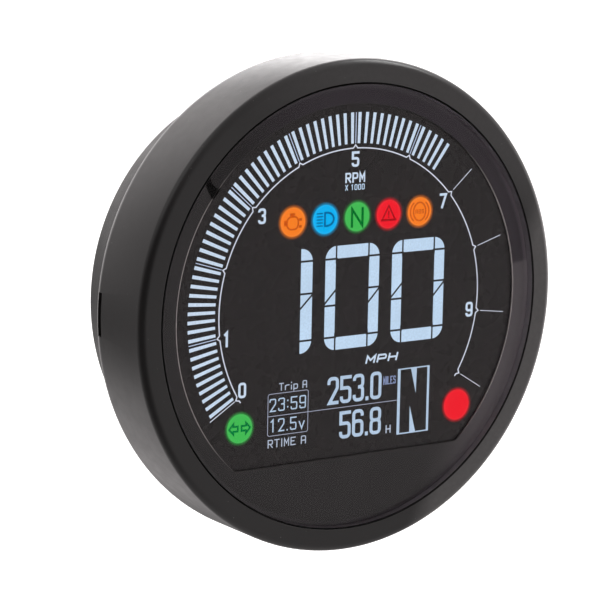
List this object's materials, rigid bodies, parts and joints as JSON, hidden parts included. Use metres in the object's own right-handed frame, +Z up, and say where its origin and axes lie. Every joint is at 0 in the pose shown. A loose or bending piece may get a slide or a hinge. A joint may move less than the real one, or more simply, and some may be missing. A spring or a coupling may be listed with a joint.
{
  "type": "motorcycle instrument cluster",
  "caption": "Round digital motorcycle gauge: clear lens over a lit display in a black ring, narrower rear case with mounting pad, harness socket and push buttons.",
  "frame": {"origin": "centre of the flat mounting pad on the back", "axes": "+Z up as the rider sees the dial, +X to the rider's right, the dial faces -Y and the mounting pad faces +Y"},
  "size_m": [0.1126, 0.0383, 0.1126],
  "materials": {
    "housing_black": "satin black paint, fine grain",
    "case_black": "moulded black plastic, fine texture",
    "clear_lens": "clear gloss",
    "mask_print": "printed black, seen through the lens",
    "lcd_glass": "black negative display",
    "rear_glass": "dark glass",
    "white_plastic": "white moulded plastic",
    "clear_plastic": "clear light guide",
    "black_rubber": "matt",
    "zebra_rubber": "striped elastomer",
    "board": "green solder mask",
    "chip_black": "moulded epoxy",
    "can_aluminium": "drawn can",
    "crystal_can": "nickel plated can",
    "screw_steel": "zinc plated steel",
    "insert_brass": "machined brass",
    "pin_metal": "tin plated",
    "connector_black": "moulded black plastic",
    "button_black": "matt black button",
    "vent_black": "moulded plastic",
    "switch_black": "moulded plastic",
    "plunger_red": "moulded plastic",
    "led_package": "LED package",
    "lamp_orange": "lit lamp",
    "lamp_blue": "lit lamp",
    "lamp_green": "lit lamp",
    "lamp_red": "lit lamp"
  },
  "bodies": {
    "housing": {"backlight_diffuser": "white_plastic", "backlight_led_1": "led_package", "backlight_led_2": "led_package", "bezel": "housing_black", "board_screw_1": "screw_steel", "board_screw_2": "screw_steel", "board_screw_3": "screw_steel", "case_gasket": "black_rubber", "case_screw_1": "screw_steel", "case_screw_2": "screw_steel", "case_screw_3": "screw_steel", "case_screw_4": "screw_steel", "clock_crystal": "crystal_can", "connector_housing": "connector_black", "connector_pin_1": "pin_metal", "connector_pin_2": "pin_metal", "connector_pin_3": "pin_metal", "connector_pin_4": "pin_metal", "dial_mask": "mask_print", "lamp_led_1": "led_package", "lamp_led_2": "led_package", "lamp_led_3": "led_package", "lamp_led_4": "led_package", "lamp_led_5": "led_package", "lamp_led_6": "led_package", "lamp_led_7": "led_package", "lamp_pipe_1": "lamp_orange", "lamp_pipe_2": "lamp_blue", "lamp_pipe_3": "lamp_green", "lamp_pipe_4": "lamp_red", "lamp_pipe_5": "lamp_orange", "lamp_pipe_6": "lamp_green", "lamp_pipe_7": "lamp_red", "lcd_driver": "chip_black", "lcd_front_glass": "lcd_glass", "lcd_holder": "white_plastic", "lcd_rear_glass": "rear_glass", "lens": "clear_lens", "lens_seal": "black_rubber", "light_guide": "clear_plastic", "microcontroller": "chip_black", "pcb": "board", "power_capacitor": "can_aluminium", "rear_case": "case_black", "switch_adjust_body": "switch_black", "switch_select_body": "switch_black", "thread_insert_1": "insert_brass", "thread_insert_2": "insert_brass", "thread_insert_3": "insert_brass", "vent_plug": "vent_black", "voltage_regulator": "chip_black", "zebra_strip": "zebra_rubber"},
    "select_button": {"button_select": "button_black", "button_select_seal": "black_rubber"},
    "adjust_button": {"button_adjust": "button_black", "button_adjust_seal": "black_rubber"},
    "select_plunger": {"switch_select_plunger": "plunger_red"},
    "adjust_plunger": {"switch_adjust_plunger": "plunger_red"}
  },
  "joints": [
    {"name": "select_button_slide", "type": "slide", "parent": "housing", "child": "select_button", "axis": [0, -1, 0], "range_m": [0, 0.001], "stiffness_N_per_m": 1500, "springref_m": -0.0005},
    {"name": "select_plunger_slide", "type": "slide", "parent": "housing", "child": "select_plunger", "axis": [0, -1, 0], "range_m": [0, 0.0008]},
    {"name": "adjust_button_slide", "type": "slide", "parent": "housing", "child": "adjust_button", "axis": [0, -1, 0], "range_m": [0, 0.001], "stiffness_N_per_m": 1500, "springref_m": -0.0005},
    {"name": "adjust_plunger_slide", "type": "slide", "parent": "housing", "child": "adjust_plunger", "axis": [0, -1, 0], "range_m": [0, 0.0008]}
  ],
  "couplings": [
    {"joint": "select_plunger_slide", "follows": "select_button_slide", "ratio": 0.8},
    {"joint": "adjust_plunger_slide", "follows": "adjust_button_slide", "ratio": 0.8}
  ]
}
